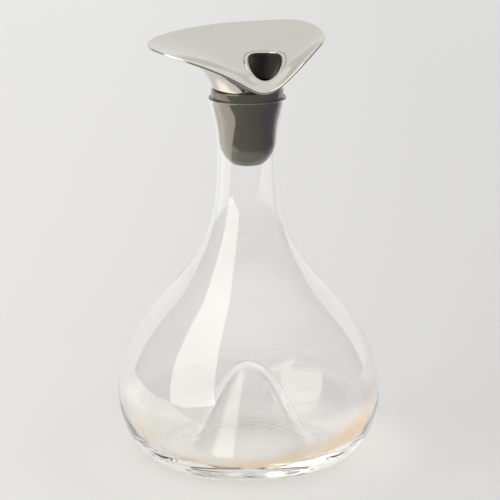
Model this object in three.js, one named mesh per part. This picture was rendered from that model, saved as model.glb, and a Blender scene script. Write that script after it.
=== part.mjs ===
// Glass wine carafe with a leaf-shaped pouring spout on a rubber bung.
// Millimetres, Z up. The origin is on the axis, where the foot of the glass meets the table.
// The glass is blown and hollow, with a tall punt in its base. The bung plugs the neck.
// A flanged black tube runs through the bung and holds the polished spout on it, free to turn.
// A black liner lines the spout's opening, which lies beside the axis.
import * as THREE from 'three';

// Fineness of the facets
const round_steps = 48;
const leaf_steps = 60;
const profile_steps = 7;
const punt_steps = 8;
const rim_steps = 4;
const bung_taper_steps = 4;
const bung_end_steps = 7;
const bore_rows = 4;
const lip_rows = 3;
const dish_rows = 9;
const underside_rows = 8;
const liner_rows = 3;

// Glass vessel, outside
const foot_radius = 58;
const belly_radius = 90;
const belly_height = 45.5;
const shoulder_radius = 52;
const shoulder_height = 121.5;
const shoulder_lean = THREE.MathUtils.degToRad(43);
const shoulder_pull = [29, 29, 31.5, 49];
const neck_radius = 20.9;
const neck_height = 214;
const neck_pull = [12, 10];
const rim_radius = 26.1;
const rim_height = 252.6;
const rim_lean = THREE.MathUtils.degToRad(18);

// Glass vessel, inside
const glass_wall = 1.5;
const floor_thickness = 5;
const moat_radius = 52;
const moat_depth_pull = 0.6;
const punt_height = 66.5;
const punt_pull = [22, 31];

// Rubber bung
const bung_gap = 0.35;
const bung_proud = 5.7;
const bung_band_radius = 24.6;
const bung_edge = 0.8;
const bung_edge_bulge = 0.3;
const bung_band_sink = 0.5;
const bung_shoulder_depth = 28;
const bung_end_depth = 21.5;
const bung_end_lift = 0.4;

// Black pouring tube: a stem in the bung, a hub that the spout turns on, and a flange
const tube_radius = 10.1;
const tube_wall = 1.2;
const tube_gap = 0.35;
const tube_stand = 4;
const hub_radius = 13.2;
const flange_radius = 17.5;
const flange_thickness = 1;

// Polished spout: a collar that opens into a leaf, with an opening beside the axis
const seat_gap = 0.3;
const collar_radius = 23.3;
const collar_upright_rate = 0.01;
const leaf_level_share = 0.5;
const collar_web = 1.2;
const turn_gap = 0.3;
const chamber_gap = 1;
const chamber_height = 2.2;
const bore_offset = 8;
const bore_radius = 9.5;
const leaf_thickness = 1.8;
const opening_offset = 12;
const opening_radius = 11.3;
const opening_lip = 2.8;
const opening_lip_depth = 2;
const lip_height = { front: 7, side: 19, back: 22 };

// Rim of the leaf, one station each 45 degrees about the opening, from the front lip and
// to the right: how far it reaches from the opening's centre, and its height over the collar
const rim_reach = [33, 38.2, 39.6, 42.5, 44.4, 54.1, 78, 52.4];
const rim_rise = [2.8, 23.2, 34, 37.5, 36.6, 34.8, 29.9, 19.8];
const rim_slope_share = 1;
const throat_slope_share = 1;

// Black liner of the opening
const liner_gap = 0.85;
const liner_wall = 0.7;
const liner_top_share = 0.96;

// Heights and radii that follow from the sizes above. The rim is a half round on the leaning
// wall, and its centre lies between the two skins.
const rim_round = glass_wall / 2;
const rim_centre = new THREE.Vector2(
  rim_radius - rim_round * Math.cos(rim_lean),
  rim_height - rim_round,
);
const rim_inner_radius = rim_centre.x - rim_round * Math.cos(rim_lean);
const bung_top = rim_height + bung_proud;
const spout_seat = bung_top + seat_gap;
const bung_bore_radius = tube_radius + tube_gap;
const flange_seat = spout_seat + collar_web + turn_gap;
const chamber_radius = flange_radius + chamber_gap;
const chamber_top = collar_web + chamber_height;

// Pull of a cubic curve that comes closest to a quarter round
const quarter_round = 0.5523;

function blend(from, to, share) {
  return from + (to - from) * share;
}

// Points along a cubic curve, moved sideways by a distance to the left of its walk
function bezier(corners, steps, distance = 0) {
  const [a, b, c, d] = corners.map(([x, y]) => new THREE.Vector2(x, y));
  const curve = new THREE.CubicBezierCurve(a, b, c, d);
  const points = [];
  for (let i = 0; i <= steps; i += 1) {
    const t = i / steps;
    const along = b.clone().sub(a).multiplyScalar((1 - t) ** 2)
      .addScaledVector(c.clone().sub(b), 2 * (1 - t) * t)
      .addScaledVector(d.clone().sub(c), t ** 2)
      .normalize();
    const point = curve.getPoint(t);
    points.push(new THREE.Vector2(point.x - along.y * distance, point.y + along.x * distance));
  }
  return points;
}

function standUp(geometry) {
  return geometry.rotateX(Math.PI / 2);
}

function lathe(outline, steps) {
  return standUp(new THREE.LatheGeometry(outline, steps));
}

// Outside of the glass from the foot to the widest height
function heelOutline() {
  return bezier([
    [foot_radius, 0],
    [blend(foot_radius, belly_radius, quarter_round), 0],
    [belly_radius, belly_height * (1 - quarter_round)],
    [belly_radius, belly_height],
  ], profile_steps);
}

// Side of the glass from the widest height over the shoulder and neck to the rim: the
// outside, or the skin that lies further in by the given depth
function sideOutline(depth = 0) {
  const [low_pull, below_pull, above_pull, high_pull] = shoulder_pull;
  const lean = new THREE.Vector2(-Math.sin(shoulder_lean), Math.cos(shoulder_lean));
  const flare = new THREE.Vector2(Math.sin(rim_lean), Math.cos(rim_lean));
  const turn_height = rim_centre.y - rim_round * Math.sin(rim_lean);
  const lower = bezier([
    [belly_radius, belly_height],
    [belly_radius, belly_height + low_pull],
    [shoulder_radius - lean.x * below_pull, shoulder_height - lean.y * below_pull],
    [shoulder_radius, shoulder_height],
  ], profile_steps, depth);
  const upper = bezier([
    [shoulder_radius, shoulder_height],
    [shoulder_radius + lean.x * above_pull, shoulder_height + lean.y * above_pull],
    [neck_radius, neck_height - high_pull],
    [neck_radius, neck_height],
  ], profile_steps, depth);
  const neck = bezier([
    [neck_radius, neck_height],
    [neck_radius, neck_height + neck_pull[0]],
    [rim_radius - flare.x * neck_pull[1], turn_height - flare.y * neck_pull[1]],
    [rim_radius, turn_height],
  ], profile_steps - 1, depth);
  return [...lower, ...upper.slice(1), ...neck.slice(1)];
}

// Half round that closes the glass wall at its rim, from outside to inside
function rimOutline() {
  const points = [];
  for (let i = 1; i < rim_steps; i += 1) {
    const angle = Math.PI * i / rim_steps - rim_lean;
    points.push(new THREE.Vector2(
      rim_centre.x + rim_round * Math.cos(angle),
      rim_centre.y + rim_round * Math.sin(angle),
    ));
  }
  return points;
}

// Inside of the heel, from the wall down to the lowest ring of the floor
function moatOutline() {
  const wall_radius = belly_radius - glass_wall;
  return bezier([
    [wall_radius, belly_height],
    [wall_radius, blend(belly_height, floor_thickness, moat_depth_pull)],
    [blend(moat_radius, wall_radius, moat_depth_pull), floor_thickness],
    [moat_radius, floor_thickness],
  ], profile_steps);
}

// Punt, from the lowest ring of the floor to its tip on the axis: its upper skin, or the
// skin that lies below it by the given depth
function puntOutline(depth = 0) {
  return bezier([
    [moat_radius, floor_thickness],
    [punt_pull[0], floor_thickness],
    [punt_pull[1], punt_height],
    [0, punt_height],
  ], punt_steps, depth);
}

// Radius inside the neck at a height, read off the inner outline
function boreRadiusAt(height) {
  const inner = sideOutline(glass_wall);
  for (let i = 1; i < inner.length; i += 1) {
    if (inner[i].y >= height) {
      const share = (height - inner[i - 1].y) / (inner[i].y - inner[i - 1].y);
      return blend(inner[i - 1].x, inner[i].x, share);
    }
  }
  return rim_inner_radius;
}

function glassVessel() {
  const outline = [
    ...puntOutline(floor_thickness).reverse(),
    ...heelOutline(),
    ...sideOutline().slice(1),
    ...rimOutline(),
    ...sideOutline(glass_wall).reverse(),
    ...moatOutline().slice(1),
    ...puntOutline().slice(1),
  ];
  return lathe(outline, round_steps);
}

// Side of the bung: a band over the rim, then a plug that follows the neck to a round end
function bungOutline() {
  const band_foot = rim_height + seat_gap;
  const bulge = bung_edge * bung_edge_bulge;
  const taper_end = rim_height - bung_shoulder_depth;
  const end_radius = boreRadiusAt(taper_end) - bung_gap;
  const points = [
    new THREE.Vector2(bung_bore_radius, bung_top),
    new THREE.Vector2(bung_band_radius - bung_edge, bung_top),
    new THREE.Vector2(bung_band_radius - bulge, bung_top - bulge),
    new THREE.Vector2(bung_band_radius, bung_top - bung_edge),
    new THREE.Vector2(bung_band_radius, band_foot),
    new THREE.Vector2(rim_inner_radius - bung_gap, rim_height - bung_band_sink),
  ];
  for (let i = 1; i <= bung_taper_steps; i += 1) {
    const height = blend(rim_height, taper_end, i / bung_taper_steps);
    points.push(new THREE.Vector2(boreRadiusAt(height) - bung_gap, height));
  }
  const mouth_angle = Math.acos((bung_bore_radius + bung_end_lift) / end_radius);
  for (let i = 1; i <= bung_end_steps; i += 1) {
    const angle = mouth_angle * i / bung_end_steps;
    points.push(new THREE.Vector2(
      end_radius * Math.cos(angle),
      taper_end - bung_end_depth * Math.sin(angle),
    ));
  }
  const mouth_height = points[points.length - 1].y + bung_end_lift;
  points.push(new THREE.Vector2(bung_bore_radius, mouth_height));
  points.push(points[0].clone());
  return { points, mouth_height };
}

function bung() {
  return lathe(bungOutline().points.reverse(), round_steps);
}

// A closed skin over rows of points, where each row is a loop and the last row meets the first
function closedSkin(rows) {
  const count = rows[0].length;
  const positions = rows.flat().flatMap((point) => [point.x, point.y, point.z]);
  const faces = [];
  rows.forEach((row, i) => {
    const here = i * count;
    const next = ((i + 1) % rows.length) * count;
    for (let j = 0; j < count; j += 1) {
      const k = (j + 1) % count;
      faces.push(here + j, next + j, here + k);
      faces.push(here + k, next + j, next + k);
    }
  });
  const geometry = new THREE.BufferGeometry();
  geometry.setAttribute('position', new THREE.Float32BufferAttribute(positions, 3));
  geometry.setIndex(faces);
  return geometry;
}

function loop(steps, place) {
  const row = [];
  for (let i = 0; i < steps; i += 1) {
    row.push(place(Math.PI * 2 * i / steps));
  }
  return row;
}

// Direction in plan at an angle from the front lip, turning to the right
function outward(angle) {
  return new THREE.Vector3(Math.sin(angle), -Math.cos(angle), 0);
}

// Smooth closed curve through evenly spaced values, read at an angle
function throughStations(values, angle) {
  const count = values.length;
  return values.reduce((sum, value, i) => {
    const away = angle - Math.PI * 2 * i / count;
    let weight = 1 + Math.cos(away * count / 2);
    for (let k = 1; k < count / 2; k += 1) {
      weight += 2 * Math.cos(k * away);
    }
    return sum + value * weight / count;
  }, 0);
}

// Height over the collar of the rounded lip round the opening: low at the front
function lipRise(angle) {
  const { front, side, back } = lip_height;
  const mean = (front + 2 * side + back) / 4;
  const tilt = (front - back) / 2;
  const saddle = (front + back - 2 * side) / 4;
  return mean + tilt * Math.cos(angle) + saddle * Math.cos(2 * angle);
}

function circlePoint(angle, centre_x, radius, height) {
  return outward(angle).multiplyScalar(radius).add(new THREE.Vector3(centre_x, 0, height));
}

// What one cross-section of the leaf needs at an angle: where it starts, ends and leans
function leafSection(angle) {
  const reach = throughStations(rim_reach, angle);
  const rise = throughStations(rim_rise, angle);
  const lip_radius = opening_radius + opening_lip;
  const lip = circlePoint(angle, opening_offset, lip_radius, spout_seat + lipRise(angle));
  const rim = circlePoint(angle, opening_offset, reach, spout_seat + rise);
  const run = reach - lip_radius;
  const slope = (rise - lipRise(angle)) / run;
  const away = outward(angle);
  const rim_tangent = away.clone().setZ(slope * rim_slope_share).normalize();
  const throat_tangent = away.clone().setZ(slope * throat_slope_share).normalize();
  const level = Math.hypot(rim_tangent.x, rim_tangent.y);
  const normal = away.clone().multiplyScalar(-rim_tangent.z).setZ(level);
  return { lip, rim, run, rim_tangent, throat_tangent, normal };
}

// Dish from the lip of the opening out to the rim
function dishPoint(angle, share) {
  const { lip, rim, run, rim_tangent, throat_tangent, normal } = leafSection(angle);
  const end = rim.clone().addScaledVector(normal, leaf_thickness / 2);
  const leave = lip.clone().addScaledVector(throat_tangent, run / 3);
  const arrive = end.clone().addScaledVector(rim_tangent, -run / 3);
  return new THREE.CubicBezierCurve3(lip, leave, arrive, end).getPoint(share);
}

// Outside of the spout, from the collar up and out to the rim. The collar runs upright for a
// share of its height that grows with the height, so that the low front flares out at once.
function undersidePoint(angle, share) {
  const { rim, rim_tangent, normal } = leafSection(angle);
  const start = circlePoint(angle, 0, collar_radius, spout_seat);
  const end = rim.clone().addScaledVector(normal, -leaf_thickness / 2);
  const level_run = start.distanceTo(end) * leaf_level_share;
  const upright = collar_upright_rate * (end.z - start.z) ** 2;
  const leave = start.clone().setZ(start.z + upright);
  const arrive = end.clone().addScaledVector(rim_tangent, -level_run);
  return new THREE.CubicBezierCurve3(start, leave, arrive, end).getPoint(share);
}

// Bore from the roof of the collar's chamber up to the edge of the opening, or a skin that
// lies inside it by an inset
function borePoint(angle, share, inset = 0) {
  const radius = blend(bore_radius, opening_radius, share) - inset;
  const height = blend(chamber_top, lipRise(angle) - opening_lip_depth, share);
  const centre_x = blend(bore_offset, opening_offset, share);
  return circlePoint(angle, centre_x, radius, spout_seat + height);
}

// Rounded lip that leads from the edge of the opening out to the dish
function lipPoint(angle, share) {
  const turn = share * Math.PI / 2;
  const radius = opening_radius + opening_lip * (1 - Math.cos(turn));
  const drop = opening_lip_depth * (1 - Math.sin(turn));
  return circlePoint(angle, opening_offset, radius, spout_seat + lipRise(angle) - drop);
}

// A level ring about the axis, at a height over the spout's seat
function ring(radius, height) {
  return loop(leaf_steps, (angle) => circlePoint(angle, 0, radius, spout_seat + height));
}

function spoutLeaf() {
  const rows = [
    ring(hub_radius + turn_gap, 0),
    ring(hub_radius + turn_gap, collar_web),
    ring(chamber_radius, collar_web),
    ring(chamber_radius, chamber_top),
  ];
  for (let i = 0; i <= bore_rows; i += 1) {
    rows.push(loop(leaf_steps, (a) => borePoint(a, i / bore_rows)));
  }
  for (let i = 1; i < lip_rows; i += 1) {
    rows.push(loop(leaf_steps, (a) => lipPoint(a, i / lip_rows)));
  }
  for (let i = 0; i <= dish_rows; i += 1) {
    rows.push(loop(leaf_steps, (a) => dishPoint(a, i / dish_rows)));
  }
  rows.push(loop(leaf_steps, (a) => {
    const { rim, rim_tangent } = leafSection(a);
    return rim.clone().addScaledVector(rim_tangent, leaf_thickness / 2);
  }));
  for (let i = underside_rows; i >= 0; i -= 1) {
    rows.push(loop(leaf_steps, (a) => undersidePoint(a, i / underside_rows)));
  }
  return closedSkin(rows);
}

// Sleeve in the spout's bore, from the roof of the chamber to just under the opening's edge
function throatLiner() {
  const rows = [];
  const skin = (i, depth) => loop(leaf_steps, (a) => borePoint(
    a, liner_top_share * i / liner_rows, liner_gap + depth,
  ));
  for (let i = 0; i <= liner_rows; i += 1) {
    rows.push(skin(i, liner_wall));
  }
  for (let i = liner_rows; i >= 0; i -= 1) {
    rows.push(skin(i, 0));
  }
  return closedSkin(rows);
}

// Stem through the bung, with the hub and flange that hold the spout's collar down
function pourTube() {
  const inner_radius = tube_radius - tube_wall;
  const foot = bungOutline().mouth_height + tube_stand;
  const flange_top = flange_seat + flange_thickness;
  const outline = [
    [inner_radius, foot],
    [tube_radius, foot],
    [tube_radius, spout_seat],
    [hub_radius, spout_seat],
    [hub_radius, flange_seat],
    [flange_radius, flange_seat],
    [flange_radius, flange_top],
    [inner_radius, flange_top],
    [inner_radius, foot],
  ].map(([x, y]) => new THREE.Vector2(x, y));
  return lathe(outline, round_steps);
}

const glass = new THREE.MeshStandardMaterial({
  color: '#f1f4f2', roughness: 0.03, metalness: 0, transparent: true, opacity: 0.35,
});
const rubber = new THREE.MeshStandardMaterial({ color: '#5b5949', roughness: 0.3, metalness: 0 });
const polished_steel = new THREE.MeshStandardMaterial({
  color: '#c9c7c3', roughness: 0.06, metalness: 1,
});
const black_plastic = new THREE.MeshStandardMaterial({
  color: '#1e1d19', roughness: 0.4, metalness: 0,
});

function piece(name, geometry, material) {
  const mesh = new THREE.Mesh(geometry, material);
  mesh.name = name;
  return mesh;
}

const carafe = new THREE.Group();
carafe.add(piece('glass_vessel', glassVessel(), glass));
carafe.add(piece('bung', bung(), rubber));
carafe.add(piece('pour_tube', pourTube(), black_plastic));
carafe.add(piece('spout_leaf', spoutLeaf(), polished_steel));
carafe.add(piece('throat_liner', throatLiner(), black_plastic));

export default carafe;
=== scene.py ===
# %% [markdown]
# A wine carafe in clear blown glass, with a dark rubber bung in its neck and a polished steel
# spout shaped like a leaf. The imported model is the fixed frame: it says where each piece is
# and how it moves. Here each piece gets a finer mesh and the finish of the real thing.

# %% Load the frame
import math

import bpy
import numpy as np
from mathutils import Matrix, Vector


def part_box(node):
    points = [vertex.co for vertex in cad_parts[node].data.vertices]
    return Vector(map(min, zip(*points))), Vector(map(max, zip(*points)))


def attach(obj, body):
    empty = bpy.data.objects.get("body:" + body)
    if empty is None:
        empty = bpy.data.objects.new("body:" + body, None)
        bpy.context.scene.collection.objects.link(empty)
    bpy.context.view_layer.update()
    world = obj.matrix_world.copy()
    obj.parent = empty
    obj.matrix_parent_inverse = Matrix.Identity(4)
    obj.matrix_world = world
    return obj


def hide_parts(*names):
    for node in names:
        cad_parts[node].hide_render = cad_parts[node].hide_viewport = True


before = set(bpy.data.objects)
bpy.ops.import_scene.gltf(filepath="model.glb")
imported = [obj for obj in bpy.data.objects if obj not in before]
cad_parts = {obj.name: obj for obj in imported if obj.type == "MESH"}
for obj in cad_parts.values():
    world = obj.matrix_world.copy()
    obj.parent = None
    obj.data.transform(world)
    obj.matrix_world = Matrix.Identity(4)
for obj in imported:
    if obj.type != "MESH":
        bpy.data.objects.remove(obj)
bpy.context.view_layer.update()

# %% [markdown]
# Sizes are written in millimetres and turned into metres here. Those that the frame knows are
# read from it, so the fine meshes stand exactly where the solids stand.

# %% Sizes
mm = 0.001

glass_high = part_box("glass_vessel")[1]
belly_radius = glass_high[0]
rim_height = glass_high[2]
bung_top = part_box("bung")[1][2]
spout_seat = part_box("spout_leaf")[0][2]
print("belly radius", round(belly_radius / mm, 1), "mm, rim at", round(rim_height / mm, 1), "mm")
print("bung up to", round(bung_top / mm, 1), "mm, spout from", round(spout_seat / mm, 1), "mm")

# %% [markdown]
# The camera stands 1.8 m in front of the carafe and 0.64 m over the table, and looks down by
# 15 degrees through a long lens. That was worked out from the outline: the ellipse of the
# glass rim and the curve of the foot are open by different amounts, which fixes the distance.
# The focal length is written in widths of the sensor, so it holds for any sensor. The Standard
# view transform shows each colour about as it is written.

# %% Camera
camera_place = Vector((0.0, -1.8, 0.6395))
camera_pitch = math.radians(15.36)
camera_roll = math.radians(-0.33)
lens_per_frame = 5.459
sensor_width = 36.0
frame_shift_x = 0.0036

camera_data = bpy.data.cameras.new("camera")
camera_data.sensor_width = sensor_width
camera_data.lens = lens_per_frame * sensor_width
camera_data.shift_x = frame_shift_x
camera = bpy.data.objects.new("camera", camera_data)
bpy.context.collection.objects.link(camera)
tilt = Matrix.Rotation(math.pi / 2 - camera_pitch, 4, "X")
roll = Matrix.Rotation(camera_roll, 4, "Z")
camera.matrix_world = Matrix.Translation(camera_place) @ tilt @ roll
bpy.context.scene.camera = camera
bpy.context.scene.view_settings.view_transform = "Standard"
print("camera", round(camera_place.length, 2), "m off, lens", round(camera_data.lens, 1), "mm")

# %% [markdown]
# Light that is caught in thick glass bounces many times before it leaves. With the usual
# limit of a few bounces those paths end in black, and the base of the glass looks sooty.

# %% Light paths
cycles = bpy.context.scene.cycles
cycles.max_bounces = 40
cycles.glossy_bounces = 32
cycles.transmission_bounces = 32
print("light may bounce", cycles.max_bounces, "times")

# %% [markdown]
# Round pieces are drawn as an outline in radius and height, and then turned about the axis.
# The long swings of an outline are cubic curves, which need few numbers and have no kinks, and
# its edges are arcs. A wall is the same curve again, moved sideways by its thickness.

# %% Curves of an outline
def cubic(corners, steps, depth=0.0):
    """Points along a cubic curve in (radius, height), moved to its left by a depth."""
    a, b, c, d = (np.array(corner, float) for corner in corners)
    t = np.linspace(0, 1, steps + 1)[:, None]
    points = (1 - t) ** 3 * a + 3 * (1 - t) ** 2 * t * b + 3 * (1 - t) * t ** 2 * c + t ** 3 * d
    along = (1 - t) ** 2 * (b - a) + 2 * (1 - t) * t * (c - b) + t ** 2 * (d - c)
    along /= np.linalg.norm(along, axis=1, keepdims=True)
    left = np.column_stack([-along[:, 1], along[:, 0]])
    return points + left * depth


def arc(centre, radius, start, stop, steps):
    """Points along a round corner in (radius, height); angles in degrees."""
    turn = np.radians(np.linspace(start, stop, steps + 1))
    return np.column_stack([centre[0] + radius * np.cos(turn), centre[1] + radius * np.sin(turn)])


# %% [markdown]
# The glass is soda-lime glass, blown into a round belly and left with a fire-polished rim. It
# is a real hollow body with a 1.5 mm wall, because only then does light bend as it does in the
# real one. A revolve is the natural tool, as it was for the glassblower. The outline is the
# same chain of curves as in the solid: heel, belly, shoulder, neck and rim, then the inside and
# the punt. A pull is how far each handle of a curve reaches, and a reach of 0.5523 of the
# radius gives a quarter of a circle.

# %% Sizes of the glass
curve_steps = 36
quarter_round = 0.5523

foot_radius = 58 * mm
belly_height = 45.5 * mm
shoulder_radius = 52 * mm
shoulder_height = 121.5 * mm
shoulder_lean = math.radians(43)
low_pull = 29 * mm
below_pull = 29 * mm
above_pull = 31.5 * mm
high_pull = 49 * mm
neck_radius = 20.9 * mm
neck_height = 214 * mm
neck_low_pull = 22 * mm
neck_high_pull = 12 * mm
rim_radius = 26.1 * mm
rim_lean = math.radians(6)
glass_wall = 1.5 * mm
floor_thickness = 5 * mm
moat_radius = 52 * mm
moat_pull = 0.6
punt_height = 66.5 * mm
punt_low_pull = 34 * mm
punt_high_pull = 25 * mm

rim_round = glass_wall / 2
rim_centre = (rim_radius - rim_round * math.cos(rim_lean), rim_height - rim_round)
print("glass wall", glass_wall / mm, "mm, floor", floor_thickness / mm, "mm")

# %% [markdown]
# The outside climbs from the foot round the heel to the widest height, leans in over the
# shoulder and flares out again to the rim. Each curve starts in the direction in which the last
# one ended, so that reflections run on without a break.

# %% Outside of the glass
def heel_outline():
    """Outside of the glass from the foot to the widest height."""
    foot_pull = foot_radius + (belly_radius - foot_radius) * quarter_round
    return cubic([
        (foot_radius, 0),
        (foot_pull, 0),
        (belly_radius, belly_height * (1 - quarter_round)),
        (belly_radius, belly_height),
    ], curve_steps)


def side_outline(depth=0.0):
    """Side of the glass up to the rim: the outside, or the skin at a depth."""
    lean = np.array([-math.sin(shoulder_lean), math.cos(shoulder_lean)])
    flare = np.array([math.sin(rim_lean), math.cos(rim_lean)])
    shoulder = np.array([shoulder_radius, shoulder_height])
    rim = np.array([rim_radius, rim_centre[1] - rim_round * math.sin(rim_lean)])
    lower = cubic([
        (belly_radius, belly_height),
        (belly_radius, belly_height + low_pull),
        shoulder - lean * below_pull,
        shoulder,
    ], curve_steps, depth)
    upper = cubic([
        shoulder,
        shoulder + lean * above_pull,
        (neck_radius, neck_height - high_pull),
        (neck_radius, neck_height),
    ], curve_steps, depth)
    neck = cubic([
        (neck_radius, neck_height),
        (neck_radius, neck_height + neck_low_pull),
        rim - flare * neck_high_pull,
        rim,
    ], curve_steps, depth)
    return np.vstack([lower, upper[1:], neck[1:]])


print("side of the glass ends at", np.round(side_outline()[-1] / mm, 1), "mm")

# %% [markdown]
# Inside, the wall runs down into a moat round the punt, the tall dome in the floor of a blown
# carafe. The underside of the punt is the same curve again, moved sideways by the thickness
# of the floor.

# %% Inside of the glass
def moat_outline():
    """Inside of the heel, from the wall down to the lowest ring of the floor."""
    wall_radius = belly_radius - glass_wall
    return cubic([
        (wall_radius, belly_height),
        (wall_radius, belly_height + (floor_thickness - belly_height) * moat_pull),
        (moat_radius + (wall_radius - moat_radius) * moat_pull, floor_thickness),
        (moat_radius, floor_thickness),
    ], curve_steps)


def punt_outline(depth=0.0):
    """Punt, from the lowest ring of the floor to its tip on the axis."""
    return cubic([
        (moat_radius, floor_thickness),
        (punt_low_pull, floor_thickness),
        (punt_high_pull, punt_height),
        (0, punt_height),
    ], curve_steps, depth)


print("punt ends at", np.round(punt_outline()[-1] / mm, 1), "mm")

# %% [markdown]
# The two skins and the round edge of the rim make one outline. It starts on the axis under the
# punt and ends on the axis over it, so that the turned mesh is closed.

# %% Whole outline of the glass
rim_steps = 12

lean_degrees = math.degrees(rim_lean)
rim_edge = arc(rim_centre, rim_round, -lean_degrees, 180 - lean_degrees, rim_steps)
outer_skin = np.vstack([
    punt_outline(floor_thickness)[::-1],
    heel_outline(),
    side_outline()[1:],
    rim_edge[1:-1],
])
inner_skin = np.vstack([
    side_outline(glass_wall)[::-1],
    moat_outline()[1:],
    punt_outline()[1:],
])
glass_outline = np.vstack([outer_skin, inner_skin])
print("glass outline", len(glass_outline), "points")

# %% [markdown]
# Nearly every piece is round, or is a sleeve that closes on itself. So one helper is enough:
# it takes rows of points, each row a closed loop, and joins neighbouring rows with quads. A
# row that shrinks to a point on the axis becomes a single vertex. Writing the points with
# numpy keeps hundreds of rows quick, which a modifier stack over a coarse cage would not.

# %% Mesh from rows of points
same_point = 1e-7


def mesh_from_rows(name, rows, meets_itself, row_material=None):
    """Closed mesh over loops of points that climb on the outside of the piece."""
    verts = []
    index = []
    for row in rows:
        row = np.asarray(row)
        if np.ptp(row, axis=0).max() < same_point:
            index.append([len(verts)] * len(row))
            verts.append(row[0])
        else:
            index.append(list(range(len(verts), len(verts) + len(row))))
            verts.extend(row)
    faces = []
    slots = []
    count = len(rows[0])
    pairs = len(rows) if meets_itself else len(rows) - 1
    for i in range(pairs):
        here = index[i]
        there = index[(i + 1) % len(rows)]
        for j in range(count):
            k = (j + 1) % count
            ring = [here[j], here[k], there[k], there[j]]
            face = [v for n, v in enumerate(ring) if v not in ring[:n]]
            if len(face) > 2:
                faces.append(face)
                slots.append(row_material[i] if row_material else 0)
    mesh = bpy.data.meshes.new(name)
    mesh.from_pydata([tuple(v) for v in verts], [], faces)
    mesh.polygons.foreach_set("material_index", slots)
    mesh.polygons.foreach_set("use_smooth", [True] * len(faces))
    mesh.validate()
    mesh.update()
    piece = bpy.data.objects.new(name, mesh)
    bpy.context.collection.objects.link(piece)
    print(name, len(verts), "vertices", len(faces), "faces")
    return piece


def circle(radius, height, steps):
    """A level loop of points about the axis."""
    turn = np.arange(steps) * 2 * math.pi / steps
    points = np.empty((steps, 3))
    points[:, 0] = radius * np.sin(turn)
    points[:, 1] = -radius * np.cos(turn)
    points[:, 2] = height
    return points


# %% [markdown]
# The glass is turned in 256 steps, so that no facets show in its long reflections. The rows
# low on the inside get a second material slot, for the film of dried wine. The film could be a
# thin mesh of its own, but a second skin so close to the wall would bend the light twice.

# %% Mesh of the glass
glass_steps = 256
film_top = 50 * mm
film_reach = 60 * mm

glass_rows = [circle(r, z, glass_steps) for r, z in glass_outline]
inside_from = len(outer_skin)
glass_slots = [
    1 if i >= inside_from and r > film_reach and z < film_top else 0
    for i, (r, z) in enumerate(glass_outline)
]
vessel = mesh_from_rows("blown_vessel", glass_rows, False, glass_slots)

# %% [markdown]
# One hex colour reader and one node helper serve every material. The helper makes a node,
# sets what it is given, and wires what it is given, so that a material reads like a recipe.
# Two more start a material and finish a piece. A finished piece has its materials, the body
# that it rides with, and the solid that it stands for.

# %% Colour and node helpers
def linear(hex_colour):
    """sRGB hex such as 'c9c7c3' as linear red, green, blue and alpha."""
    parts = [int(hex_colour[i:i + 2], 16) / 255 for i in (0, 2, 4)]
    return [p / 12.92 if p <= 0.04045 else ((p + 0.055) / 1.055) ** 2.4 for p in parts] + [1.0]


def add(tree, kind, settings=None, inputs=None):
    """A node with its settings; an input is a plain value or another node's output."""
    node = tree.nodes.new(kind)
    for key, value in (settings or {}).items():
        setattr(node, key, value)
    for key, value in (inputs or {}).items():
        if isinstance(value, bpy.types.NodeSocket):
            tree.links.new(value, node.inputs[key])
        else:
            node.inputs[key].default_value = value
    return node


def new_material(name):
    """An empty node material and its output node."""
    material = bpy.data.materials.new(name)
    material.use_nodes = True
    material.node_tree.nodes.clear()
    print("material", name)
    return material, add(material.node_tree, "ShaderNodeOutputMaterial")


def finish_piece(piece, body, slot, node, *materials):
    """Materials, body and the solid that the piece stands for; the slot is not used."""
    for material in materials:
        piece.data.materials.append(material)
    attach(piece, body)
    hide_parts(node)
    print(piece.name, "rides with", body, "and stands for", node)


# %% [markdown]
# Soda-lime glass has an index of refraction of 1.52 and almost no roughness. Blown glass is
# never quite even, so a very low bump with waves some 30 mm long bends the reflections a
# little. Light that only casts a shadow goes straight through with a trace of loss: a renderer
# can't find the bright paths through curved glass, and would draw a black shadow.

# %% Clear glass
glass_ior = 1.52
wave_length = 30 * mm
wave_height = 0.02 * mm


def glass_surface(tree):
    """Principled glass with the slow waves of blown glass."""
    place = add(tree, "ShaderNodeTexCoord").outputs["Object"]
    waves = add(tree, "ShaderNodeTexNoise", inputs={
        "Vector": place, "Scale": 1 / wave_length, "Detail": 1.0, "Roughness": 0.4,
    })
    bump = add(tree, "ShaderNodeBump", inputs={
        "Height": waves.outputs["Fac"], "Distance": wave_height, "Strength": 1.0,
    })
    return add(tree, "ShaderNodeBsdfPrincipled", inputs={
        "Base Color": linear("ffffff"),
        "Roughness": 0.0,
        "IOR": glass_ior,
        "Transmission Weight": 1.0,
        "Normal": bump.outputs["Normal"],
    }).outputs["BSDF"]


def let_light_through(tree, surface, out):
    """Clear shadows for a glass surface."""
    is_shadow = add(tree, "ShaderNodeLightPath").outputs["Is Shadow Ray"]
    clear = add(tree, "ShaderNodeBsdfTransparent", inputs={"Color": linear("fefefe")})
    mixed = add(tree, "ShaderNodeMixShader", inputs={
        0: is_shadow, 1: surface, 2: clear.outputs["BSDF"],
    })
    tree.links.new(mixed.outputs["Shader"], out.inputs["Surface"])


clear_glass, out = new_material("clear_blown_glass")
tree = clear_glass.node_tree
let_light_through(tree, glass_surface(tree), out)

# %% [markdown]
# Wine has dried to a pale tan film low on the inside of the wall. It lies round the front of
# the heel, and climbs higher on the right. The first step says where it is: it fades in over
# the moat, and fades out upwards and towards the back.

# %% Where the film lies
film_low = 5 * mm
film_full = 10 * mm
film_thin = 17 * mm
film_high = 27 * mm
film_climb = 0.2
film_back = 40 * mm

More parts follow.
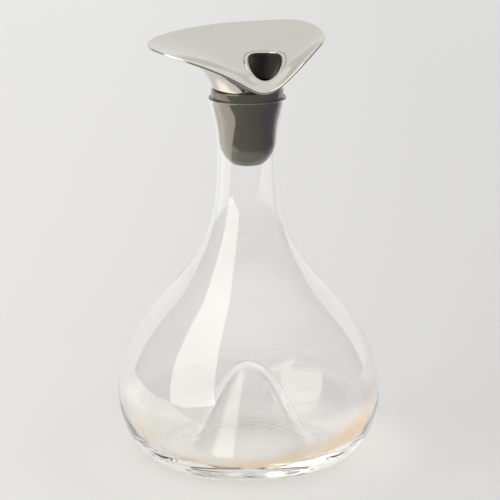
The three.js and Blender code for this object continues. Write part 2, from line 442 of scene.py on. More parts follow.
film_glass, out = new_material("glass_with_dried_wine_film")
tree = film_glass.node_tree
place = add(tree, "ShaderNodeTexCoord").outputs["Object"]
parts = add(tree, "ShaderNodeSeparateXYZ", inputs={"Vector": place}).outputs
climb = add(tree, "ShaderNodeMath", {"operation": "MULTIPLY", "use_clamp": True}, {
    0: parts["X"], 1: film_climb,
})
level = add(tree, "ShaderNodeMath", {"operation": "SUBTRACT"}, {
    0: parts["Z"], 1: climb.outputs[0],
})
foot_fade = add(tree, "ShaderNodeMapRange", {"interpolation_type": "SMOOTHSTEP"}, {
    "Value": parts["Z"], "From Min": film_low, "From Max": film_full,
    "To Min": 0.0, "To Max": 1.0,
})
top_fade = add(tree, "ShaderNodeMapRange", {"interpolation_type": "SMOOTHSTEP"}, {
    "Value": level.outputs[0], "From Min": film_thin, "From Max": film_high,
    "To Min": 1.0, "To Max": 0.0,
})
back_fade = add(tree, "ShaderNodeMapRange", {"interpolation_type": "SMOOTHSTEP"}, {
    "Value": parts["Y"], "From Min": 0.0, "From Max": film_back,
    "To Min": 1.0, "To Max": 0.0,
})
band = add(tree, "ShaderNodeMath", {"operation": "MULTIPLY"}, {
    0: foot_fade.outputs["Result"], 1: top_fade.outputs["Result"],
})
band = add(tree, "ShaderNodeMath", {"operation": "MULTIPLY"}, {
    0: band.outputs[0], 1: back_fade.outputs["Result"],
})
print("film between", film_low / mm, "and", film_high / mm, "mm of height")

# %% [markdown]
# The film is in soft patches about 22 mm wide. A cloudy noise thins it between them, and less
# so on the right, where the film is thickest.

# %% Patches of the film
film_patch = 22 * mm
film_right_gain = 2.0
thin_up_to = 0.35
thick_from = 0.58
thinnest = 0.4

patches = add(tree, "ShaderNodeTexNoise", inputs={
    "Vector": place, "Scale": 1 / film_patch, "Detail": 4.0, "Roughness": 0.6,
})
on_the_right = add(tree, "ShaderNodeMath", {"operation": "MULTIPLY", "use_clamp": True}, {
    0: parts["X"], 1: film_right_gain,
})
patch = add(tree, "ShaderNodeMath", {"operation": "ADD"}, {
    0: patches.outputs["Fac"], 1: on_the_right.outputs[0],
})
cover = add(tree, "ShaderNodeMapRange", {"interpolation_type": "SMOOTHSTEP"}, {
    "Value": patch.outputs[0], "From Min": thin_up_to, "From Max": thick_from,
    "To Min": thinnest, "To Max": 1.0,
})
amount = add(tree, "ShaderNodeMath", {"operation": "MULTIPLY"}, {
    0: band.outputs[0], 1: cover.outputs["Result"],
})
print("film patches", film_patch / mm, "mm wide")

# %% [markdown]
# So thin a film only tints the light that passes, and it looks strongest where the wall is seen
# edge-on and light crosses it twice. Rays that light the table don't see it, because it would
# lay a tan glow on the paper that the real film is too thin for. Light Path counts whole
# bounces, so half a bounce is a safe limit between none and one.

# %% Tint of the film
half_a_bounce = 0.5

rays = add(tree, "ShaderNodeLightPath").outputs
seen = add(tree, "ShaderNodeMath", {"operation": "LESS_THAN"}, {
    0: rays["Diffuse Depth"], 1: half_a_bounce,
})
amount = add(tree, "ShaderNodeMath", {"operation": "MULTIPLY"}, {
    0: amount.outputs[0], 1: seen.outputs[0],
})
tint = add(tree, "ShaderNodeMix", {"data_type": "RGBA"}, {
    "Factor": amount.outputs[0], 6: linear("ffffff"), 7: linear("ffd8ae"),
})
surface = glass_surface(tree)
tree.links.new(tint.outputs[2], surface.node.inputs["Base Color"])
let_light_through(tree, surface, out)

finish_piece(vessel, "vessel", "glass", "glass_vessel", clear_glass, film_glass)

# %% [markdown]
# The bung is moulded silicone rubber: a band that stands over the rim, and a plug that follows
# the neck to a round end. It is a revolve too, with a bore for the tube. A cone would be
# simpler, but it would cut into the flared neck or hang loose in it. So its radius is read off
# the inside of the glass, less a hair of room, and the two never cross.

# %% Bung
bung_steps = 192
bung_corner_steps = 8
taper_steps = 32
end_steps = 24
bung_gap = 0.35 * mm
bung_band_radius = 24.6 * mm
bung_edge = 0.8 * mm
bung_shoulder_depth = 28 * mm
bung_end_depth = 21.5 * mm
bung_end_lift = 0.4 * mm
bung_band_sink = 0.5 * mm
seat_gap = 0.3 * mm
tube_radius = 10.1 * mm
tube_gap = 0.35 * mm
bung_bore = tube_radius + tube_gap


def neck_radius_at(height):
    """Radius inside the neck at a height."""
    inner = side_outline(glass_wall)
    return float(np.interp(height, inner[:, 1], inner[:, 0]))


def bung_outline():
    """Closed outline of the bung's right half, walked downwards on its outside."""
    band_foot = rim_height + seat_gap
    taper_end = rim_height - bung_shoulder_depth
    end_radius = neck_radius_at(taper_end) - bung_gap
    edge_centre = (bung_band_radius - bung_edge, bung_top - bung_edge)
    top = arc(edge_centre, bung_edge, 90, 0, bung_corner_steps)
    taper_heights = np.linspace(rim_height - bung_band_sink, taper_end, taper_steps)
    taper = np.column_stack([[neck_radius_at(h) - bung_gap for h in taper_heights], taper_heights])
    mouth = math.acos((bung_bore + bung_end_lift) / end_radius)
    turn = np.linspace(0, mouth, end_steps)[1:]
    end = np.column_stack([end_radius * np.cos(turn), taper_end - bung_end_depth * np.sin(turn)])
    return np.vstack([
        [(bung_bore, bung_top)],
        top,
        [(bung_band_radius, band_foot)],
        taper,
        end,
        [(bung_bore, end[-1, 1] + bung_end_lift)],
    ])


bung_rows = [circle(r, z, bung_steps) for r, z in bung_outline()[::-1]]
bung = mesh_from_rows("rubber_bung", bung_rows, True)

# %% [markdown]
# Silicone rubber has an index of about 1.41. The smooth mould left it a sharp gloss, which a
# clear coat with a high index gives. The colour is an olive grey, with a barely visible
# cloudiness and a fine moulding grain. The grain is drawn at 0.6 mm, coarser than it is, so
# that it shows.

# %% Olive grey silicone
rubber_cloud = 9 * mm
rubber_grain = 0.6 * mm
rubber_grain_height = 0.01 * mm

silicone, out = new_material("olive_grey_silicone_rubber")
tree = silicone.node_tree
place = add(tree, "ShaderNodeTexCoord").outputs["Object"]
cloud = add(tree, "ShaderNodeTexNoise", inputs={
    "Vector": place, "Scale": 1 / rubber_cloud, "Detail": 4.0,
})
colour = add(tree, "ShaderNodeMix", {"data_type": "RGBA"}, {
    "Factor": cloud.outputs["Fac"], 6: linear("414138"), 7: linear("4d4d42"),
})
grain = add(tree, "ShaderNodeTexNoise", inputs={
    "Vector": place, "Scale": 1 / rubber_grain, "Detail": 2.0,
})
bump = add(tree, "ShaderNodeBump", inputs={
    "Height": grain.outputs["Fac"], "Distance": rubber_grain_height, "Strength": 0.6,
})
surface = add(tree, "ShaderNodeBsdfPrincipled", inputs={
    "Base Color": colour.outputs[2],
    "Roughness": 0.25,
    "IOR": 1.41,
    "Coat Weight": 1.0,
    "Coat IOR": 1.75,
    "Coat Roughness": 0.03,
    "Normal": bump.outputs["Normal"],
})
tree.links.new(surface.outputs["BSDF"], out.inputs["Surface"])

finish_piece(bung, "stopper", "rubber", "bung", silicone)

# %% [markdown]
# The tube is a round sleeve of black plastic. Its stem stands in the bung, and its flange sits
# in the collar of the spout and lets it turn. It hardly shows, so an outline with small round
# edges, turned about the axis, is all that it needs.

# %% Pouring tube
tube_low, tube_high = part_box("pour_tube")
tube_wall = 1.2 * mm
hub_radius = 13.2 * mm
flange_radius = tube_high[0]
flange_thickness = 1 * mm
collar_web = 1.2 * mm
turn_gap = 0.3 * mm
flange_seat = spout_seat + collar_web + turn_gap
flange_top = flange_seat + flange_thickness
tube_round = 0.3 * mm
tube_inner = tube_radius - tube_wall
tube_corner_steps = 5


def tube_edge(radius, height, start):
    """Round edge of the tube, a quarter turn from a start in degrees."""
    return arc((radius, height), tube_round, start, start + 90, tube_corner_steps)


inner_edge = tube_inner + tube_round
flange_edge = flange_radius - tube_round
foot_edge = tube_low[2] + tube_round
tube_outline = np.vstack([
    tube_edge(inner_edge, foot_edge, 180),
    tube_edge(tube_radius - tube_round, foot_edge, 270),
    [(tube_radius, spout_seat), (hub_radius, spout_seat), (hub_radius, flange_seat)],
    tube_edge(flange_edge, flange_seat + tube_round, 270),
    tube_edge(flange_edge, flange_top - tube_round, 0),
    tube_edge(inner_edge, flange_top - tube_round, 90),
])
tube_rows = [circle(r, z, bung_steps) for r, z in tube_outline]
tube = mesh_from_rows("pouring_tube", tube_rows, True)

# %% [markdown]
# The tube is moulded polypropylene, black right through, with an index of about 1.49. The
# texture of the mould makes it matt and takes most of its gloss. It is drawn as a mottle of
# 0.8 mm, coarser than it is, so that it shows. The same surface serves for the liner later, so
# it is a function.

# %% Black moulded plastic
speck_size = 0.8 * mm
speck_height = 0.02 * mm


def black_surface(tree):
    """Principled black plastic with the mottle of its mould."""
    place = add(tree, "ShaderNodeTexCoord").outputs["Object"]
    speck = add(tree, "ShaderNodeTexNoise", inputs={
        "Vector": place, "Scale": 1 / speck_size, "Detail": 3.0,
    })
    colour = add(tree, "ShaderNodeMix", {"data_type": "RGBA"}, {
        "Factor": speck.outputs["Fac"], 6: linear("0d0c0a"), 7: linear("181713"),
    })
    bump = add(tree, "ShaderNodeBump", inputs={
        "Height": speck.outputs["Fac"], "Distance": speck_height, "Strength": 0.5,
    })
    return add(tree, "ShaderNodeBsdfPrincipled", inputs={
        "Base Color": colour.outputs[2],
        "Roughness": 0.55,
        "IOR": 1.49,
        "Specular IOR Level": 0.3,
        "Normal": bump.outputs["Normal"],
    }).outputs["BSDF"]


black_plastic, out = new_material("black_moulded_polypropylene")
tree = black_plastic.node_tree
tree.links.new(black_surface(tree), out.inputs["Surface"])

finish_piece(tube, "stopper", "black_plastic", "pour_tube", black_plastic)

# %% [markdown]
# The bore of the spout, the seam round its opening and the liner in it all get this black
# plastic, which on the bore and the seam is painted shade. The polished dish would mirror them as
# a second dark spot beside the opening, so a mirror ray sees them glow pale: a painted reflection.

# %% Black liner plastic, with painted shade and a painted pale reflection
liner_plastic, out = new_material("black_liner_plastic_with_painted_pale_reflection")
tree = liner_plastic.node_tree
rays = add(tree, "ShaderNodeLightPath").outputs
# Painted reflection: mirror rays see this plastic glow pale instead of black.
pale = add(tree, "ShaderNodeEmission", inputs={"Color": linear("f6f3ee"), "Strength": 1.0})
in_mirror = add(tree, "ShaderNodeMath", {"operation": "GREATER_THAN"}, {
    0: rays["Glossy Depth"], 1: half_a_bounce,
})
mixed = add(tree, "ShaderNodeMixShader", inputs={
    0: in_mirror.outputs[0], 1: black_surface(tree), 2: pale.outputs["Emission"],
})
tree.links.new(mixed.outputs["Shader"], out.inputs["Surface"])

# %% [markdown]
# The spout is one casting in stainless steel, polished all over. From a round collar it opens
# into a leaf, low at the front, drawn out to the left and high at the back. The rim is given
# by eight stations round the opening, starting at the front, and one smooth wave is laid
# through them, so that the reflections run without a kink. It could be sculpted from a coarse
# cage, but every dent in a mirror shows, and a wave through few numbers has none.

# %% Stations of the leaf
leaf_steps = 320
rim_reach = np.array([33, 38.2, 39.6, 42.5, 44.4, 54.1, 78, 52.4]) * mm
rim_rise = np.array([2.8, 23.2, 34, 37.5, 36.6, 34.8, 29.9, 19.8]) * mm

turns = np.arange(leaf_steps) * 2 * math.pi / leaf_steps
away = np.column_stack([np.sin(turns), -np.cos(turns), np.zeros(leaf_steps)])
upward = np.array([0.0, 0.0, 1.0])


def through_stations(values):
    """Smooth closed wave through evenly spaced values, read at every turn."""
    count = len(values)
    total = np.zeros(leaf_steps)
    for i, value in enumerate(values):
        from_station = turns - 2 * math.pi * i / count
        weight = 1 + np.cos(from_station * count / 2)
        for k in range(1, count // 2):
            weight += 2 * np.cos(k * from_station)
        total += value * weight / count
    return total


reach = through_stations(rim_reach)
rise = through_stations(rim_rise)
print("leaf reaches", np.round([reach.min() / mm, reach.max() / mm], 1), "mm from the opening")
print("leaf rises", np.round([rise.min() / mm, rise.max() / mm], 1), "mm over the collar")

# %% [markdown]
# The opening is a tilted circle off to the right. Its lip is low in front and high behind, and
# its height is a wave through the front, the two sides and the back. The dish runs from the lip
# to the rim, and leaves both along the straight line between them.

# %% Lip and rim
opening_offset = 12 * mm
opening_radius = 11.3 * mm
opening_lip = 2.8 * mm
lip_front = 7 * mm
lip_side = 19 * mm
lip_back = 22 * mm


def around(centre_x, radius, height):
    """Loop about a vertical axis, where radius and height may change with the turn."""
    radius = np.broadcast_to(radius, leaf_steps)[:, None]
    height = np.broadcast_to(height, leaf_steps)[:, None]
    return away * radius + upward * height + np.array([centre_x, 0, 0])


def unit(vectors):
    """Vectors of length one."""
    return vectors / np.linalg.norm(vectors, axis=1, keepdims=True)


lip_rise = (
    (lip_front + 2 * lip_side + lip_back) / 4
    + (lip_front - lip_back) / 2 * np.cos(turns)
    + (lip_front + lip_back - 2 * lip_side) / 4 * np.cos(2 * turns)
)
lip_radius = opening_radius + opening_lip
run = (reach - lip_radius)[:, None]
slope = (rise - lip_rise)[:, None] / run
rim_loop = around(opening_offset, reach, spout_seat + rise)
lip_loop = around(opening_offset, lip_radius, spout_seat + lip_rise)
dish_tangent = unit(away + upward * slope)
dish_level = np.linalg.norm(dish_tangent[:, :2], axis=1, keepdims=True)
dish_normal = -away * dish_tangent[:, 2:] + upward * dish_level
print("lip rises", np.round([lip_rise.min() / mm, lip_rise.max() / mm], 1), "mm")

# %% [markdown]
# The bore comes up through the casting from a chamber in the collar, in which the flange of the
# tube turns. It widens and moves to the right on its way to the opening, where a rounded lip
# leads out to the dish.

# %% Bore and lip
lip_fullness = 0.6
opening_lip_depth = 2 * mm
chamber_height = 2.2 * mm
bore_offset = 8 * mm
bore_radius = 9.5 * mm


def bore_loop(share, inset=0.0):
    """Bore from the chamber's roof to the edge of the opening, or a skin inside it."""
    radius = bore_radius + (opening_radius - bore_radius) * share - inset
    low_rise = collar_web + chamber_height
    height = low_rise + (lip_rise - opening_lip_depth - low_rise) * share
    centre_x = bore_offset + (opening_offset - bore_offset) * share
    return around(centre_x, radius, spout_seat + height)


def lip_loop_at(share):
    """Rounded lip from the edge of the opening out to the dish."""
    turn = share * math.pi / 2
    radius = opening_radius + opening_lip * (1 - max(math.cos(turn), 0) ** lip_fullness)
    drop = opening_lip_depth * (1 - math.sin(turn) ** lip_fullness)
    return around(opening_offset, radius, spout_seat + lip_rise - drop)


print("bore", 2 * bore_radius / mm, "mm wide below,", 2 * opening_radius / mm, "mm on top")

# %% [markdown]
# Each cross-section of the leaf is a pair of cubic curves, the dish above and the underside
# below, joined by the round edge of the rim. The underside stands nearly upright over the
# collar, for longer on the left than on the right, before it sweeps out to the rim.

# %% Underside of the leaf
collar_radius = 23.3 * mm
collar_upright_rate = 0.01 / mm
collar_left_gain = 4.0
collar_upright_most = 0.6
collar_lean = math.radians(20)
leaf_level_share = 0.5
leaf_thickness = 1.8 * mm


def loft(a, b, c, d, share):
    """Loop on a cubic surface between four loops."""
    rest = 1 - share
    return rest ** 3 * a + 3 * rest ** 2 * share * b + 3 * rest * share ** 2 * c + share ** 3 * d


dish_end = rim_loop + dish_normal * leaf_thickness / 2
under_end = rim_loop - dish_normal * leaf_thickness / 2
collar_loop = around(0, collar_radius, spout_seat)
level_run = np.linalg.norm(under_end - collar_loop, axis=1, keepdims=True) * leaf_level_share
under_height = under_end[:, 2:] - spout_seat
collar_rise = upward + away * math.tan(collar_lean)
on_left = np.clip(-np.sin(turns), 0, 1)[:, None]
upright_length = collar_upright_rate * (1 + collar_left_gain * on_left) * under_height ** 2
upright_length = np.minimum(upright_length, under_height * collar_upright_most)
upright = collar_loop + collar_rise * upright_length
print("collar upright for up to", round(upright_length.max() / mm, 1), "mm")

# %% [markdown]
# The rows now run up the chamber and the bore, over the lip and the dish, round the rim and
# down the underside. A seam 0.3 mm wide sets the lip off from the dish. The bore, the first
# rows of the lip and the seam get the second material slot, the black plastic, as painted shade:
# it keeps the opening and the seam dark and the lip free of a glint.

# %% Mesh of the leaf
bore_rows = 16
lip_rows = 10
# The first rows of the lip are painted black as shade, so that they show no glint.
painted_shade_lip_rows = 3
dish_rows = 60
edge_rows = 10
underside_rows = 56
chamber_radius = flange_radius + 1 * mm
seam_width = 0.3 * mm
seam_depth = 0.4 * mm

leaf_rows = [
    around(0, hub_radius + turn_gap, spout_seat),
    around(0, hub_radius + turn_gap, spout_seat + collar_web),
    around(0, chamber_radius, spout_seat + collar_web),
    around(0, chamber_radius, spout_seat + collar_web + chamber_height),
]
bore_from = len(leaf_rows)
leaf_rows += [bore_loop(i / bore_rows) for i in range(bore_rows + 1)]
bore_to = len(leaf_rows) - 1 + painted_shade_lip_rows
leaf_rows += [lip_loop_at(i / lip_rows) for i in range(1, lip_rows + 1)]
seam_from = len(leaf_rows) - 1
seam_floor = lip_loop - upward * seam_depth
leaf_rows += [seam_floor, seam_floor + away * seam_width, lip_loop + dish_tangent * seam_width]
seam_to = len(leaf_rows) - 1
leaf_rows += [
    loft(
        lip_loop,
        lip_loop + dish_tangent * run / 3,
        dish_end - dish_tangent * run / 3,
        dish_end,
        i / dish_rows,
    )
    for i in range(1, dish_rows + 1)
]
for i in range(1, edge_rows):
    turn = math.pi * i / edge_rows
    leaf_rows.append(
        rim_loop
        + dish_normal * leaf_thickness / 2 * math.cos(turn)
        + dish_tangent * leaf_thickness / 2 * math.sin(turn)
    )
leaf_rows += [
    loft(collar_loop, upright, under_end - dish_tangent * level_run, under_end, i / underside_rows)
    for i in range(underside_rows, -1, -1)
]
# Slot 1 is painted shade: black plastic on the bore, the first lip rows and the seam.
leaf_slots = [
    1 if bore_from <= i < bore_to or seam_from <= i < seam_to else 0
    for i in range(len(leaf_rows))
]
leaf = mesh_from_rows("steel_leaf", leaf_rows[::-1], True, leaf_slots[-2::-1] + leaf_slots[-1:])

# %% [markdown]
# Polished stainless steel is a mirror: metallic, with a low roughness, and a colour of its own
# that is only a little warm. What one sees in it is the room. A fine haze from the polishing
# mops varies the roughness over a few millimetres, so that the mirror isn't perfect. Most of
# the noise lies between 0.3 and 0.7, and that range is spread over the two limits.

# %% Polished stainless steel
polish_patch = 6 * mm
noise_low = 0.3
noise_high = 0.7
best_polish = 0.05
least_polish = 0.09

steel, out = new_material("polished_stainless_steel")
tree = steel.node_tree
place = add(tree, "ShaderNodeTexCoord").outputs["Object"]
haze = add(tree, "ShaderNodeTexNoise", inputs={
    "Vector": place, "Scale": 1 / polish_patch, "Detail": 3.0,
})
roughness = add(tree, "ShaderNodeMapRange", inputs={
    "Value": haze.outputs["Fac"], "From Min": noise_low, "From Max": noise_high,
    "To Min": best_polish, "To Max": least_polish,
})
surface = add(tree, "ShaderNodeBsdfPrincipled", inputs={
    "Base Color": linear("d4d1cb"),
    "Metallic": 1.0,
    "Roughness": roughness.outputs["Result"],
})
tree.links.new(surface.outputs["BSDF"], out.inputs["Surface"])

finish_piece(leaf, "spout", "polished_steel", "spout_leaf", steel, liner_plastic)

# %% [markdown]
# A black liner stands in the bore, which is one reason why the opening looks so dark. It is a
# sleeve between two skins. Both are the bore's own loops, set further in, so it fits all the
# way up although the bore widens and leans.

# %% Liner of the opening
liner_gap = 0.85 * mm
liner_wall = 0.7 * mm
liner_share = 1.05
liner_rows = 10

shares = [i / liner_rows * liner_share for i in range(liner_rows + 1)]
liner_skin = [bore_loop(share, liner_gap + liner_wall) for share in shares]
liner_skin += [bore_loop(share, liner_gap) for share in reversed(shares)]
liner = mesh_from_rows("opening_liner", liner_skin[::-1], True)
finish_piece(liner, "spout", "black_plastic", "throat_liner", liner_plastic)

# %% [markdown]
# The studio is a pale table in a pale room. The table is one sheet of paper that reaches past
# the view on all sides, so no curved backdrop is needed. It lies a hair below the foot, so that
# glass and paper never share a plane.

# %% Table
table_size = 12.0
table_drop = 0.2 * mm

half = table_size / 2
corners = [(-half, -half, 0), (half, -half, 0), (half, half, 0), (-half, half, 0)]
table_mesh = bpy.data.meshes.new("table")
table_mesh.from_pydata(corners, [], [(0, 1, 2, 3)])
table = bpy.data.objects.new("table", table_mesh)
table.location = (0, 0, -table_drop)
bpy.context.collection.objects.link(table)
print("table", table_size, "m wide")

# %% [markdown]
# The paper is a light grey. Painted shade makes it a little darker on the right, and painted
# light makes it grow paler towards the back. Both changes are soft, so that no edge shows on the
# table.

# %% Paper of the table, with painted shade and painted light
paper_fade = 0.2
paper_near = 0.3
paper_far = 1.8

paper, out = new_material("pale_paper_with_painted_light_shade_and_reflection")
tree = paper.node_tree
place = add(tree, "ShaderNodeTexCoord").outputs["Object"]
parts = add(tree, "ShaderNodeSeparateXYZ", inputs={"Vector": place}).outputs
across = add(tree, "ShaderNodeMapRange", inputs={
    "Value": parts["X"], "From Min": -paper_fade, "From Max": paper_fade,
    "To Min": 0.0, "To Max": 1.0,
}).outputs["Result"]
painted_light_to_back = add(tree, "ShaderNodeMapRange", inputs={
    "Value": parts["Y"], "From Min": paper_near, "From Max": paper_far,
    "To Min": 0.0, "To Max": 1.0,
}).outputs["Result"]
# Painted shade darkens the paper to the right, and painted light pales it towards the back.
near_colour = add(tree, "ShaderNodeMix", {"data_type": "RGBA"}, {
    "Factor": across, 6: linear("e0e0df"), 7: linear("d7d7d6"),
})
far_colour = add(tree, "ShaderNodeMix", {"data_type": "RGBA"}, {
    "Factor": across, 6: linear("eeeeed"), 7: linear("e4e4e3"),
})
colour = add(tree, "ShaderNodeMix", {"data_type": "RGBA"}, {
    "Factor": painted_light_to_back, 6: near_colour.outputs[2], 7: far_colour.outputs[2],
})
table_mesh.materials.append(paper)

# %% [markdown]
# Glass gathers light under its foot, which a renderer hardly finds, so that light is painted
# on the paper there, as a paler colour. Painted light also lifts the paper some way behind the
# carafe, but only as seen through the neck.

# %% Painted light on the paper
foot_light_full = 0.07
foot_light_end = 0.14
foot_lift = 0.5
neck_from = 0.62
neck_full = 0.78
neck_lift = 0.5

rays = add(tree, "ShaderNodeLightPath").outputs
distance = add(tree, "ShaderNodeVectorMath", {"operation": "LENGTH"}, {0: place})
painted_neck_light = add(tree, "ShaderNodeMapRange", {"interpolation_type": "SMOOTHSTEP"}, {
    "Value": parts["Y"], "From Min": neck_from, "From Max": neck_full,
    "To Min": 0.0, "To Max": neck_lift,
})
through = add(tree, "ShaderNodeMath", {"operation": "MULTIPLY"}, {
    0: rays["Is Transmission Ray"], 1: painted_neck_light.outputs["Result"],
})
painted_foot_light = add(tree, "ShaderNodeMapRange", {"interpolation_type": "SMOOTHSTEP"}, {
    "Value": distance.outputs["Value"], "From Min": foot_light_full, "From Max": foot_light_end,
    "To Min": foot_lift, "To Max": 0.0,
})
lift = add(tree, "ShaderNodeMath", {"operation": "MAXIMUM"}, {
    0: through.outputs[0], 1: painted_foot_light.outputs["Result"],
})
# Painted light: the paper's colour is mixed towards a paler grey.
colour = add(tree, "ShaderNodeMix", {"data_type": "RGBA"}, {
    "Factor": lift.outputs[0], 6: colour.outputs[2], 7: linear("f2f2f1"),
})
plain = add(tree, "ShaderNodeBsdfDiffuse", inputs={"Color": colour.outputs[2]})
print("paper is lifted up to", foot_light_end, "m from the axis")

# %% [markdown]
# A reflection sees what a real studio has on the camera's side, painted on the paper as a glow
# that only mirror rays see: a painted reflection. To it the table is bright on the left, dim on
# the right, and grey where it ends in front of the carafe. Without those differences glass and
# rubber would look milky.

# %% Painted reflection of the table
table_front = -0.18
table_sweep = 0.25
mirror_strength = 0.9
mirror_left_gain = 0.6

side = add(tree, "ShaderNodeMath", {"operation": "ABSOLUTE"}, {0: parts["X"]})
swept = add(tree, "ShaderNodeMath", {"operation": "MULTIPLY_ADD"}, {
    0: side.outputs[0], 1: table_sweep, 2: parts["Y"],
})
before_edge = add(tree, "ShaderNodeMath", {"operation": "LESS_THAN"}, {
    0: swept.outputs[0], 1: table_front,
})
on_right = add(tree, "ShaderNodeMath", {"operation": "GREATER_THAN"}, {0: parts["X"], 1: 0.0})
side_colour = add(tree, "ShaderNodeMix", {"data_type": "RGBA"}, {
    "Factor": on_right.outputs[0], 6: linear("fff5e6"), 7: linear("7a7480"),
})
off_table = add(tree, "ShaderNodeMath", {"operation": "MAXIMUM"}, {
    0: before_edge.outputs[0], 1: on_right.outputs[0],
})
painted_reflection_colour = add(tree, "ShaderNodeMix", {"data_type": "RGBA"}, {
    "Factor": before_edge.outputs[0], 6: side_colour.outputs[2], 7: linear("8a8680"),
})
glow = add(tree, "ShaderNodeMath", {"operation": "SUBTRACT"}, {0: 1.0, 1: off_table.outputs[0]})
glow_strength = add(tree, "ShaderNodeMath", {"operation": "MULTIPLY_ADD"}, {
    0: glow.outputs[0], 1: mirror_left_gain, 2: mirror_strength,
})
# Painted reflection: the paper glows for mirror rays, brightest on the left.
painted_table_reflection = add(tree, "ShaderNodeEmission", inputs={
    "Color": painted_reflection_colour.outputs[2], "Strength": glow_strength.outputs[0],
})
print("a mirror sees the table end", -table_front, "m in front of the axis")

# %% [markdown]
# Only the first mirror ray sees that painted reflection of the table, only in front of the
# carafe and beside it, and only some way off the foot. A ray that lights the paper never does,
# so no light is added.

# %% Rays that see the painted reflection
table_slant = 0.5
slant_fade = 0.12
mirror_from = 0.19
mirror_full = 0.3

far_enough = add(tree, "ShaderNodeMapRange", {"interpolation_type": "SMOOTHSTEP"}, {
    "Value": distance.outputs["Value"], "From Min": mirror_from, "From Max": mirror_full,
    "To Min": 0.0, "To Max": 1.0,
})
slant = add(tree, "ShaderNodeMath", {"operation": "MULTIPLY"}, {0: side.outputs[0], 1: table_slant})
behind_by = add(tree, "ShaderNodeMath", {"operation": "SUBTRACT"}, {
    0: parts["Y"], 1: slant.outputs[0],
})
not_behind = add(tree, "ShaderNodeMapRange", {"interpolation_type": "SMOOTHSTEP"}, {
    "Value": behind_by.outputs[0], "From Min": -slant_fade, "From Max": slant_fade,
    "To Min": 1.0, "To Max": 0.0,
})
one_mirror = add(tree, "ShaderNodeMath", {"operation": "COMPARE"}, {
    0: rays["Glossy Depth"], 1: 1.0, 2: half_a_bounce,
})
in_front = add(tree, "ShaderNodeMath", {"operation": "MULTIPLY"}, {
    0: one_mirror.outputs[0], 1: not_behind.outputs[0],
})
in_front = add(tree, "ShaderNodeMath", {"operation": "MULTIPLY"}, {
    0: in_front.outputs[0], 1: far_enough.outputs["Result"],
})
not_lighting = add(tree, "ShaderNodeMath", {"operation": "LESS_THAN"}, {
    0: rays["Diffuse Depth"], 1: half_a_bounce,
})
in_front = add(tree, "ShaderNodeMath", {"operation": "MULTIPLY"}, {
    0: in_front.outputs[0], 1: not_lighting.outputs[0],
})
surface = add(tree, "ShaderNodeMixShader", inputs={
    0: in_front.outputs[0], 1: plain.outputs["BSDF"], 2: painted_table_reflection.outputs["Emission"],
})
tree.links.new(surface.outputs["Shader"], out.inputs["Surface"])
print("paper has", len(tree.nodes), "nodes")

# %% [markdown]
# The room is one world shader, which is quicker than real walls and casts no shadows. A mirror
# in it sees pale walls behind the carafe, a dim side behind the camera and a light ceiling. The
# walls change over a soft edge, and the ceiling comes in between 35 and 60 degrees up.

# %% Walls and ceiling of the room
room_wall = linear("f2f2f0")
room_ceiling = linear("f5f4f2")
room_dim = linear("6f6d68")
backdrop_edge = math.radians(128)
ceiling_from = math.sin(math.radians(35))
ceiling_full = math.sin(math.radians(60))
backdrop_blur = 0.03

world = bpy.data.worlds.new("studio")
bpy.context.scene.world = world
world.use_nodes = True
tree = world.node_tree
tree.nodes.clear()
out = add(tree, "ShaderNodeOutputWorld")
direction = add(tree, "ShaderNodeTexCoord").outputs["Generated"]
parts = add(tree, "ShaderNodeSeparateXYZ", inputs={"Vector": direction}).outputs
sideways = add(tree, "ShaderNodeMath", {"operation": "ABSOLUTE"}, {0: parts["X"]}).outputs[0]
edge_ratio = -math.cos(backdrop_edge) / math.sin(backdrop_edge)
to_edge = add(tree, "ShaderNodeMath", {"operation": "MULTIPLY"}, {0: sideways, 1: edge_ratio})
past_edge = add(tree, "ShaderNodeMath", {"operation": "SUBTRACT"}, {
    0: parts["Y"], 1: to_edge.outputs[0],
})
backdrop = add(tree, "ShaderNodeMapRange", inputs={
    "Value": past_edge.outputs[0], "From Min": -backdrop_blur, "From Max": backdrop_blur,
    "To Min": 0.0, "To Max": 1.0,
})
overhead = add(tree, "ShaderNodeMapRange", inputs={
    "Value": parts["Z"], "From Min": ceiling_from, "From Max": ceiling_full,
    "To Min": 0.0, "To Max": 1.0,
})
walls = add(tree, "ShaderNodeMix", {"data_type": "RGBA"}, {
    "Factor": backdrop.outputs["Result"], 6: room_dim, 7: room_wall,
})
mirrored = add(tree, "ShaderNodeMix", {"data_type": "RGBA"}, {
    "Factor": overhead.outputs["Result"], 6: walls.outputs[2], 7: room_ceiling,
})
print("pale walls begin", round(math.degrees(backdrop_edge)), "degrees round from the camera")

# %% [markdown]
# The camera, and light that goes straight through the glass, see an even pale grey instead.
# What lights the rubber and the paper is an even fill, so that their colours show about as they
# are written.

# %% Room for each kind of ray
room_pale = linear("e6e6e4")
room_fill = linear("e7e8ea")

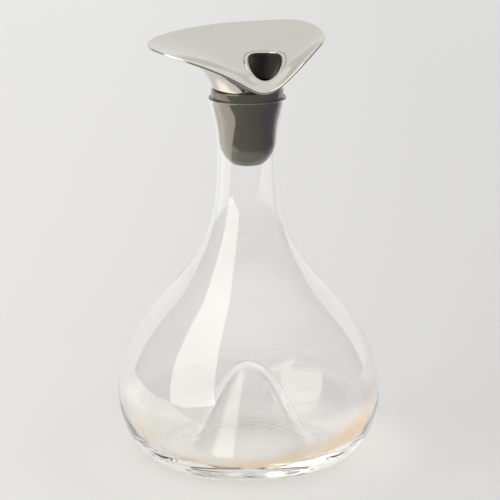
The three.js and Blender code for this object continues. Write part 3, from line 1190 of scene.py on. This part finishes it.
rays = add(tree, "ShaderNodeLightPath").outputs
lit = add(tree, "ShaderNodeMath", {"operation": "GREATER_THAN"}, {
    0: rays["Diffuse Depth"], 1: half_a_bounce,
})
room_light = add(tree, "ShaderNodeMix", {"data_type": "RGBA"}, {
    "Factor": lit.outputs[0], 6: mirrored.outputs[2], 7: room_fill,
})
one_mirror = add(tree, "ShaderNodeMath", {"operation": "COMPARE"}, {
    0: rays["Glossy Depth"], 1: 1.0, 2: half_a_bounce,
})
through = add(tree, "ShaderNodeMath", {"operation": "SUBTRACT", "use_clamp": True}, {
    0: rays["Is Transmission Ray"], 1: one_mirror.outputs[0],
})
straight = add(tree, "ShaderNodeMath", {"operation": "MAXIMUM"}, {
    0: rays["Is Camera Ray"], 1: through.outputs[0],
})
seen = add(tree, "ShaderNodeMix", {"data_type": "RGBA"}, {
    "Factor": straight.outputs[0], 6: room_light.outputs[2], 7: room_pale,
})
room = add(tree, "ShaderNodeBackground", inputs={"Color": seen.outputs[2], "Strength": 1.0})
tree.links.new(room.outputs["Background"], out.inputs["Surface"])
print("room has", len(tree.nodes), "nodes")

# %% [markdown]
# One big softbox stands in front on the left, leans over the carafe and is rolled a little.
# Its place was found by tracing the edges of the long bright strip on the glass back into the
# room, where they meet the four edges of one rectangle. An area lamp of that size gives the
# strip and the soft shadows with less noise than a glowing panel would.

# %% Softbox
softbox_corner = Vector((-2.532, -0.941, -0.171))
softbox_across = Vector((0.5666, -0.7794, 0.2674))
softbox_up = Vector((0.0023, 0.3260, 0.9454))
softbox_width = 1.99
softbox_length = 4.6
softbox_watts_per_m2 = 7.4

softbox_data = bpy.data.lights.new("softbox", "AREA")
softbox_data.shape = "RECTANGLE"
softbox_data.size = softbox_width
softbox_data.size_y = softbox_length
softbox_data.energy = softbox_watts_per_m2 * softbox_width * softbox_length
softbox_data.color = linear("fff8ea")[:3]
softbox = bpy.data.objects.new("softbox", softbox_data)
bpy.context.collection.objects.link(softbox)
softbox_middle = (
    softbox_corner
    + softbox_across * softbox_width / 2
    + softbox_up * softbox_length / 2
)
softbox_back = softbox_across.cross(softbox_up)
turned = Matrix((softbox_across, softbox_up, softbox_back)).transposed().to_4x4()
softbox.matrix_world = Matrix.Translation(softbox_middle) @ turned
softbox.visible_camera = False
print("softbox", softbox_width, "by", softbox_length, "m,", round(softbox_data.energy, 1), "W")
